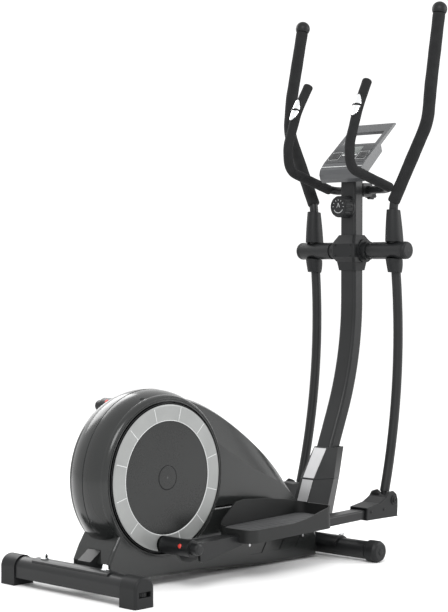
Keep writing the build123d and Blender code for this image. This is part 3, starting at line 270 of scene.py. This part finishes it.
# ---------------------------------------------------------------- mesh helpers
def make_piece(name, points, faces, finish, body, smooth=True):
    """Mesh object that rides on a body and takes one of the finishes."""
    mesh = bpy.data.meshes.new(name)
    mesh.from_pydata([tuple(point) for point in points], [], faces)
    mesh.validate()
    work = bmesh.new()
    work.from_mesh(mesh)
    bmesh.ops.recalc_face_normals(work, faces=work.faces)
    work.to_mesh(mesh)
    work.free()
    mesh.polygons.foreach_set("use_smooth", [smooth] * len(mesh.polygons))
    piece = bpy.data.objects.new(name, mesh)
    bpy.context.scene.collection.objects.link(piece)
    dress(piece, finish)
    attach(piece, body)
    return piece


def bevelled(piece, width):
    """Soft edges on a flat-sided piece."""
    modifier = piece.modifiers.new("soft_edges", "BEVEL")
    modifier.width = width
    modifier.segments = 3
    modifier.limit_method = "ANGLE"
    return piece


def rounded_path(corners, radii, step=0.006):
    """Points along a polyline whose inner corners are rounded by arcs."""
    corners = [Vector(corner) for corner in corners]
    path = [corners[0]]
    for before, corner, after, radius in zip(corners, corners[1:], corners[2:], radii):
        back, ahead = (before - corner).normalized(), (after - corner).normalized()
        half_angle = back.angle(ahead) / 2
        reach = radius / math.tan(half_angle)
        centre = corner + (back + ahead).normalized() * radius / math.sin(half_angle)
        start, end = corner + back * reach - centre, corner + ahead * reach - centre
        turn = start.angle(end)
        axis = start.cross(end).normalized()
        count = max(2, int(turn * radius / step))
        path += [centre + Matrix.Rotation(turn * i / count, 3, axis) @ start for i in range(count + 1)]
    path.append(corners[-1])
    return evenly_spaced(path, step)


def evenly_spaced(path, step):
    """The same path, cut into pieces of about one length."""
    result = [path[0]]
    for start, end in zip(path, path[1:]):
        count = max(1, round((end - start).length / step))
        result += [start.lerp(end, i / count) for i in range(1, count + 1)]
    return result


def tangents(path, closed=False):
    """Direction of travel at each point of a path."""
    last = len(path) - 1
    result = []
    for i in range(len(path)):
        before = path[i - 1] if i > 0 or closed else path[0]
        after = path[(i + 1) % len(path)] if i < last or closed else path[last]
        result.append((after - before).normalized())
    return result


def band(low, high, sides):
    """Faces between two rings of points, given the number of each ring's first point."""
    return [(low + k, low + (k + 1) % sides, high + (k + 1) % sides, high + k) for k in range(sides)]


def end_caps(rings, sides):
    """One face over the first ring and one over the last."""
    return [tuple(range(sides))[::-1], tuple(range((rings - 1) * sides, rings * sides))]


def tube(name, path, radius, finish, body, closed=False, sides=16):
    """Round bar along a path. The radius is one number, or one for each point; open ends are capped."""
    radii = radius if isinstance(radius, list) else [radius] * len(path)
    ways = tangents(path, closed)
    side = ways[0].orthogonal().normalized()
    points = []
    for centre, way, size in zip(path, ways, radii):
        side = (side - way * side.dot(way)).normalized()
        other = way.cross(side)
        points += [centre + (side * math.cos(a) + other * math.sin(a)) * size
                   for a in full_turn(sides)]
    rings = len(path)
    faces = []
    for i in range(rings if closed else rings - 1):
        low, high = i * sides, (i + 1) % rings * sides
        faces += band(low, high, sides)
    if not closed:
        faces += end_caps(rings, sides)
    return make_piece(name, points, faces, finish, body)


def turned(name, profile, place, axis, finish, body, sides=32):
    """Solid of revolution: (radius, height) points about an axis through a place."""
    basis = Vector(axis).to_track_quat("Z", "Y").to_matrix()
    points = []
    for radius, height in profile:
        points += [Vector(place) + basis @ Vector((radius * math.cos(a), radius * math.sin(a), height))
                   for a in full_turn(sides)]
    faces = []
    for i in range(len(profile) - 1):
        low, high = i * sides, (i + 1) * sides
        faces += band(low, high, sides)
    faces += end_caps(len(profile), sides)
    return make_piece(name, points, faces, finish, body)


def slab(name, outline, depth, finish, body, soft=0.0006):
    """Flat plate from a closed outline of points, thickened along one vector."""
    count = len(outline)
    points = [Vector(point) for point in outline] + [Vector(point) + Vector(depth) for point in outline]
    faces = [tuple(range(count))[::-1], tuple(range(count, 2 * count))]
    faces += [(i, (i + 1) % count, count + (i + 1) % count, count + i) for i in range(count)]
    return bevelled(make_piece(name, points, faces, finish, body, smooth=False), soft)


def circle_y(centre, radius, y, count=96):
    """Closed ring of points about a line along Y."""
    return [Vector((centre.x + radius * math.cos(a), y, centre.z + radius * math.sin(a)))
            for a in full_turn(count)]


def screw_head(name, place, axis, radius, finish, body):
    """Pan head with a sunk centre."""
    profile = [(radius, 0), (radius, radius * 0.25), (radius * 0.8, radius * 0.5),
               (radius * 0.45, radius * 0.55), (radius * 0.38, radius * 0.2), (radius * 0.02, radius * 0.16)]
    return turned(name, profile, place, axis, finish, body, sides=20)


# ---------------------------------------------------------------- foam grips
def foam_radii(path, radius, lip=0.003):
    """Radius at each point of a foam sleeve: rounded over at both rims and slightly uneven between them."""
    lengths = [0.0]
    for start, end in zip(path, path[1:]):
        lengths.append(lengths[-1] + (end - start).length)
    total = lengths[-1]
    radii = []
    for along in lengths:
        rim = min(along, total - along)
        rounding = lip * (1 - math.sqrt(max(0.0, 1 - (1 - min(1.0, rim / (2 * lip))) ** 2)))
        swell = 0.0002 * math.sin(along * 55) + 0.00012 * math.sin(along * 131 + 1.3)
        radii.append(radius - rounding + swell - 0.0002)
    return radii


def finer_ends(path):
    """Extra points close to both ends, where the foam is rounded over."""
    first, last = path[0], path[-1]
    start = [first.lerp(path[1], k) for k in (0.0, 0.08, 0.2, 0.4, 0.7)]
    end = [path[-2].lerp(last, k) for k in (0.3, 0.6, 0.8, 0.92, 1.0)]
    return start + path[1:-1] + end


def make_handle_foam(side, sign):
    """Long foam sleeve on one swinging handle, drawn in the arm's frame and then leaned with the arm."""
    joint = lower_joint[side]
    lean = math.atan2(pivot.x - joint.x, pivot.z - joint.z)
    turn = Matrix.Translation(pivot) @ Matrix.Rotation(lean, 4, "Y")
    corners = [turn @ Vector((x, sign * y, z)) for x, y, z in GRIP_POINTS]
    path = finer_ends(rounded_path(corners, GRIP_BENDS))
    foam = tube(f"handle_foam_{side}", path, foam_radii(path, GRIP_RADIUS), "grip_foam", f"swing_{side}",
                sides=32)
    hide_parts(f"handle_grip_{side}")


def pulse_path(sign):
    return rounded_path([station(x, sign * y, z) for x, y, z in PULSE_POINTS], PULSE_BENDS, step=PULSE_STEP)


def make_pulse_foam(side, sign):
    path = finer_ends(pulse_path(sign))
    radii = foam_radii(path, PULSE_FOAM_RADIUS + 0.0002)
    foam = tube(f"pulse_foam_{side}", path, radii, "grip_foam", "frame", sides=28)
    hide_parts("pulse_grips")


def make_sensor_trim(side, sign):
    """Black rim round the leaf-shaped contact plates, and the plain bridge between their halves."""
    path = pulse_path(sign)
    x, y, z = SENSOR_POINT
    target = station(x, sign * y, z)
    middle = min(range(len(path)), key=lambda i: (path[i] - target).length)
    ways = tangents(path)

    def on_grip(across, along, lift):
        index = middle + along / PULSE_STEP
        low = int(math.floor(index))
        centre = path[low].lerp(path[low + 1], index - low)
        way = ways[low]
        sideways = (Vector((0, 1, 0)) - way * way.y).normalized()
        rearward = way.cross(sideways)
        angle = across / PULSE_FOAM_RADIUS
        return centre + (sideways * math.sin(angle) + rearward * math.cos(angle)) * (PULSE_FOAM_RADIUS + lift)

    rim = [on_grip(SENSOR_HALF_WIDTH * 1.28 * math.cos(a), (SENSOR_HALF + 0.002) * math.sin(a), 0.0004)
           for a in full_turn(48)]
    tube(f"sensor_rim_{side}", rim, 0.0016, "trim_plastic", "frame", closed=True, sides=10)
    bridge = [on_grip(0.016 * (k / 6 - 1), 0, 0.0016) for k in range(13)]
    tube(f"sensor_bridge_{side}", bridge, 0.0032, "trim_plastic", "frame", sides=12)


# ---------------------------------------------------------------- crank discs and housing
def make_disc_trim(side, sign):
    """Panel lines, bright lips and the dark groove round the centre cap of one crank disc."""
    face = sign * RING_FACE_Y
    pin = crank_pin(side)
    part = 360 / RING_PARTS
    for k in range(RING_PARTS):
        angle = math.radians(part / 2 + part * k)
        way = Vector((math.cos(angle), 0, math.sin(angle)))
        across = Vector((-way.z, 0, way.x)) * 0.0009
        start = crank_centre + way * (RING_INNER + 0.003) + Vector((0, face, 0))
        end = crank_centre + way * (RING_OUTER - 0.004) + Vector((0, face, 0))
        middle = (start + end) / 2
        if math.hypot(middle.x - pin.x, middle.z - pin.z) < PIN_BOSS_CLEARANCE:
            continue
        outline = [start - across, start + across, end + across, end - across]
        slab(f"ring_line_{side}_{k}", outline, (0, sign * 0.0005, 0), "white_mark", "crank", soft=0.0002)
    tube(f"ring_inner_lip_{side}", circle_y(crank_centre, RING_INNER + 0.0012, face - sign * 0.0006), 0.0010,
         "white_mark", "crank", closed=True, sides=8)
    groove = circle_y(crank_centre, 0.0328, sign * CAP_GROOVE_Y, 64)
    tube(f"disc_cap_groove_{side}", groove, 0.0009, "trim_plastic", "crank", closed=True, sides=8)


def make_housing_seam():
    """Dark joint between the two shells, over the drum and down the ridge of the nose."""
    ridge = ((0.400, 0.492), (0.470, 0.468), (0.550, 0.428), (0.640, 0.372), (0.730, 0.303), (0.790, 0.243),
             (0.856, 0.162))
    path = []
    for degree in range(208, 62, -3):
        angle = math.radians(degree)
        path.append(crank_centre + Vector((math.cos(angle), 0, math.sin(angle))) * (DRUM_RADIUS + 0.0001))
    path += [station(x, 0, z + 0.0001) for x, z in ridge]
    tube("housing_seam", evenly_spaced(path, 0.01), 0.0009, "trim_plastic", "frame", sides=8)


# Radius, distance from the middle plane, finish and body of the fine rings round each disc
RECESS_LIPS = ((0.2068, 0.0735, "housing_plastic", "frame"), (0.2008, 0.0748, "trim_plastic", "crank"))


def make_recess_lips():
    """Two fine rings that part the housing's side from each crank disc."""
    for side, sign in SIDES:
        for number, (radius, depth, finish, body) in enumerate(RECESS_LIPS):
            lip = circle_y(crank_centre, radius, sign * depth)
            tube(f"recess_lip_{number}_{side}", lip, 0.0011, finish, body, closed=True, sides=8)


# ---------------------------------------------------------------- pedals and joints
def arm_frame(side):
    """Matrix from the pedal arm's own frame: its origin is the crank pin and +X runs to the lower joint."""
    pin = crank_pin(side)
    joint = lower_joint[side]
    pitch = math.atan2(joint.z - pin.z, joint.x - pin.x)
    return Matrix.Translation((pin.x, 0, pin.z)) @ Matrix.Rotation(-pitch, 4, "Y")


def make_tread(side, sign):
    """Ribbed rubber mat with waved transverse ribs, on the floor of one foot tray."""
    to_row = arm_frame(side) @ Matrix.Rotation(math.radians(ARM_DROP), 4, "Y")
    x0, x1 = PEDAL_START_X + 0.014, PEDAL_START_X + PEDAL_LENGTH - 0.014
    y0, y1 = PEDAL_INNER_Y + 0.009, PEDAL_OUTER_Y - 0.009
    columns, rows, corner = 180, 36, 0.022
    points = []
    for i in range(columns + 1):
        x = x0 + (x1 - x0) * i / columns
        edge = min(x - x0, x1 - x)
        pull = corner - math.sqrt(max(0.0, corner ** 2 - (corner - edge) ** 2)) if edge < corner else 0.0
        for j in range(rows + 1):
            y = y0 + pull + (y1 - y0 - 2 * pull) * j / rows
            wave = math.sin(2 * math.pi * (x + 0.004 * math.sin(y * 95)) / 0.024)
            margin = min(edge, (y - y0 - pull), (y1 - pull - y))
            rise = min(1.0, max(0.0, margin / 0.006))
            z = TREAD_Z + 0.0004 * rise + 0.0016 * rise * max(0.0, wave) ** 0.6
            points.append(to_row @ Vector((x, sign * y, z)))
    width = rows + 1
    faces = [(i * width + j, i * width + j + 1, (i + 1) * width + j + 1, (i + 1) * width + j)
             for i in range(columns) for j in range(rows)]
    mat = make_piece(f"tread_mat_{side}", points, faces, "tread_rubber", f"pedal_{side}")
    thick = mat.modifiers.new("thickness", "SOLIDIFY")
    thick.thickness = 0.0025
    thick.offset = 0


def make_pin_cap(side, sign):
    """Small red plug on the rear of the bearing sleeve."""
    matrix = arm_frame(side)
    back = math.sqrt(SLEEVE_RADIUS ** 2 - PIN_CAP_RISE ** 2)
    place = matrix @ Vector((0.0006 - back, sign * PIN_CAP_Y, PIN_CAP_RISE))
    axis = matrix.to_3x3() @ Vector((-back, 0, PIN_CAP_RISE))
    profile = [(0.0062, -0.0035), (0.0062, 0.0012), (0.0050, 0.0024), (0.0030, 0.0030), (0.0002, 0.0032)]
    turned(f"pin_cap_{side}", profile, place, axis, "red_cap", f"pedal_{side}", sides=24)


def make_joint_screws(side, sign):
    """Boss ring and two screws on the outer side of the joint cover."""
    matrix = arm_frame(side)
    outer = sign * (ARM_Y + JOINT_COVER_HALF)
    axis = Vector((0, sign, 0))
    for number, (x, z) in enumerate(((0.740, -0.020), (0.800, -0.022))):
        place = matrix @ Vector((x, outer, z))
        screw_head(f"joint_screw_{side}_{number}", place, axis, 0.0042, "frame_paint", f"pedal_{side}")
    radius, ring_y = 0.0125, outer + sign * 0.0020
    ring = [matrix @ Vector((PEDAL_ARM_LENGTH + radius * math.cos(a), ring_y, radius * math.sin(a)))
            for a in full_turn(48)]
    tube(f"joint_boss_ring_{side}", ring, 0.0010, "trim_plastic", f"pedal_{side}", closed=True, sides=8)
    middle = matrix @ Vector((PEDAL_ARM_LENGTH, outer + sign * 0.0019, 0))
    screw_head(f"joint_boss_cap_{side}", middle, axis, 0.0075, "trim_plastic", f"pedal_{side}")


# ---------------------------------------------------------------- mast cover, console and knob
def mast_station(z):
    """Station of the mast's centreline at a height below its bend."""
    lean = math.radians(MAST_LEAN)
    foot = MAST_BEND_TOP - MAST_BEND_RADIUS * math.sin(lean)
    return MAST_X - MAST_BEND_RADIUS * (1 - math.cos(lean)) - (foot - z) * math.tan(lean)


def make_mast_strips():
    """Brushed silver strip down the rear of the mast cover; its left side draws in toward the foot."""
    for name, low, high in (("lower", (0.119, 0.0638, 0.010, 0.026), (0.2185, 0.0579, 0.017, 0.024)),
                            ("upper", (0.2235, 0.0572, 0.0175, 0.024), (0.309, 0.0337, 0.0235, 0.0235))):
        (z0, rear0, left0, right0), (z1, rear1, left1, right1) = low, high
        foot, head = mast_station(z0) - rear0, mast_station(z1) - rear1
        outline = [station(foot, -right0, z0), station(foot, left0, z0), station(head, left1, z1),
                   station(head, -right1, z1)]
        outward = (outline[1] - outline[0]).cross(outline[3] - outline[0]).normalized()
        outward = outward if outward.x < 0 else -outward
        slab(f"mast_strip_{name}", outline, outward * 0.0012, "silver_strip", "frame", soft=0.0005)


def make_drum_hole_shade():
    """Small dark disc in the right shoulder of the drum's top: painted shade that stands in for the shade inside a
    screw hole there.
    """
    profile = [(0.0062, -0.0020), (0.0062, 0.0006), (0.0050, 0.0010), (0.0002, 0.0011)]
    # Painted shade: the dark trim finish on this disc stands in for the shade inside the hole.
    turned("drum_hole_shade", profile, station(*DRUM_HOLE_SHADE), DRUM_HOLE_SHADE_AXIS, "trim_plastic", "frame", sides=24)


def on_console(up, across, out):
    """Point in the console's own frame: up its face, across it, and out of it."""
    tilt = math.radians(CONSOLE_TILT)
    return station(CONSOLE_X + up * math.cos(tilt) - out * math.sin(tilt), across,
                   CONSOLE_Z + up * math.sin(tilt) + out * math.cos(tilt))


def make_console_marks():
    """Plain outlines round the buttons, a bright band between them and a painted highlight along the rolled edge.
    """
    out = on_console(0, 0, 1) - on_console(0, 0, 0)
    for side, sign in SIDES:
        corners = ((0.018, 0.034), (0.018, 0.0725), (0.0535, 0.0725), (0.0535, 0.034))
        outline = [on_console(up, sign * across, 0.0010) for up, across in corners]
        frame_path = evenly_spaced(outline + [outline[0]], 0.004)[:-1]
        tube(f"button_outline_{side}", frame_path, 0.0006, "white_mark", "frame", closed=True, sides=8)
        for row in range(3):
            up = 0.028 + 0.007 * row
            corners = ((up, 0.045), (up, 0.065), (up + 0.0016, 0.065), (up + 0.0016, 0.045))
            bar = [on_console(height, sign * across, 0.0028) for height, across in corners]
            slab(f"button_rib_{side}_{row}", bar, out * 0.0005, "panel_plastic", f"button_{side}",
                 soft=0.0002)
    stripe = [on_console(0.0368, -0.029, 0.0006), on_console(0.0368, 0.029, 0.0006),
              on_console(0.0425, 0.029, 0.0006), on_console(0.0425, -0.029, 0.0006)]
    slab("console_band", stripe, out * 0.0008, "white_mark", "frame", soft=0.0003)
    # Painted highlight: a white line along the rolled edge stands in for the light that the edge catches.
    line = [on_console(-0.014, -0.081, -0.0022), on_console(-0.014, 0.081, -0.0022)]
    tube("console_painted_highlight", evenly_spaced(line, 0.01), 0.0013, "white_mark", "frame", sides=10)


def make_knob_marks():
    """Generic dial on the knob's face: a ring, short ticks and one pointer."""
    centre = station(KNOB_FACE_X - 0.0002, 0, KNOB_Z)

    def on_face(radius, degree):
        angle = math.radians(degree)
        return centre + Vector((0, radius * math.cos(angle), radius * math.sin(angle)))

    arc = [on_face(0.019, degree) for degree in range(-150, -29, 5)]
    tube("knob_arc", arc, 0.0007, "white_mark", "tension_knob", sides=8)
    for number, degree in enumerate(range(0, 181, 30)):
        tube(f"knob_tick_{number}", [on_face(0.018, degree), on_face(0.0225, degree)], 0.0006, "white_mark",
             "tension_knob", sides=8)
    pointer = [on_face(0.006, 205), on_face(0.011, 90), on_face(0.006, -25)]
    tube("knob_pointer", pointer, 0.0008, "white_mark", "tension_knob", sides=8)
    rim = [on_face(0.0270, 10 * k) for k in range(36)]
    tube("knob_face_ring", rim, 0.0008, "frame_paint", "tension_knob", closed=True, sides=8)


def make_pivot_details():
    """Screws on the pivot cover, and the fine ring between each hub and its end cap."""
    for side, sign in SIDES:
        for number, z in enumerate((0.893, 0.926)):
            place = station(MAST_X - PIVOT_COVER_REACH, sign * 0.030, z)
            screw_head(f"pivot_screw_{side}_{number}", place, (-1, 0, 0), 0.0036, "trim_plastic", "frame")
        ring = circle_y(pivot, 0.0262, sign * 0.2022, 64)
        tube(f"pivot_cap_ring_{side}", ring, 0.0009, "trim_plastic", "frame", closed=True, sides=8)


def make_roller_cap(side, sign):
    """Dark snap-in cap over the bolt in the end of one transport roller."""
    centre = joints[f"roller_{side}_spin"]
    profile = [(0.0096, -0.0030), (0.0096, 0.0002), (0.0085, 0.0009), (0.0050, 0.0013), (0.0003, 0.0014)]
    place = Vector((centre.x, sign * ROLLER_FACE_Y, centre.z))
    turned(f"roller_cap_{side}", profile, place, (0, sign, 0), "trim_plastic", f"roller_{side}")


for side, sign in SIDES:
    make_handle_foam(side, sign)
    make_pulse_foam(side, sign)
    make_sensor_trim(side, sign)
    make_disc_trim(side, sign)
    make_tread(side, sign)
    make_pin_cap(side, sign)
    make_joint_screws(side, sign)
    make_roller_cap(side, sign)
make_housing_seam()
make_recess_lips()
make_mast_strips()
make_drum_hole_shade()
make_console_marks()
make_knob_marks()
make_pivot_details()


# ---------------------------------------------------------------- floor, light and camera
def make_floor():
    bpy.ops.mesh.primitive_plane_add(size=60)
    floor = bpy.context.active_object
    floor.name = "floor"
    floor.data.materials.append(surface("floor", (0.93, 0.93, 0.93), roughness=0.7, grain=200, depth=0.00002,
                                        mottle_amount=0.01, wear=0.0))


def make_area_light(name, place, aim, size, power):
    light = bpy.data.lights.new(name, "AREA")
    light.shape = "RECTANGLE"
    light.size, light.size_y = size
    light.energy = power
    lamp = bpy.data.objects.new(name, light)
    bpy.context.scene.collection.objects.link(lamp)
    lamp.location = place
    lamp.rotation_euler = (Vector(aim) - Vector(place)).to_track_quat("-Z", "Y").to_euler()


def make_world():
    world = bpy.data.worlds.new("studio")
    world.use_nodes = True
    background = world.node_tree.nodes["Background"]
    background.inputs["Color"].default_value = (1.0, 1.0, 1.0, 1.0)
    background.inputs["Strength"].default_value = 1.14
    bpy.context.scene.world = world


def make_camera():
    """Long-lens camera, so that the machine is seen with little perspective."""
    camera = bpy.data.cameras.new("camera")
    camera.lens = CAMERA_LENS
    camera.sensor_width = CAMERA_SENSOR
    camera.clip_end = 200
    holder = bpy.data.objects.new("camera", camera)
    bpy.context.scene.collection.objects.link(holder)
    holder.location = station(*CAMERA_PLACE)
    holder.rotation_euler = Vector(CAMERA_WAY).to_track_quat("-Z", "Y").to_euler()
    bpy.context.scene.camera = holder


make_floor()
make_world()
make_area_light("key", (-2.6, -2.4, 3.4), (0, 0, 0.6), (2.4, 2.0), 130)
make_area_light("side", (2.8, -2.6, 2.0), (0, 0, 0.7), (1.6, 2.2), 60)
make_area_light("back", (0.5, 3.2, 2.6), (0, 0, 0.8), (2.6, 1.6), 60)
make_camera()
bpy.context.scene.view_settings.view_transform = "Standard"
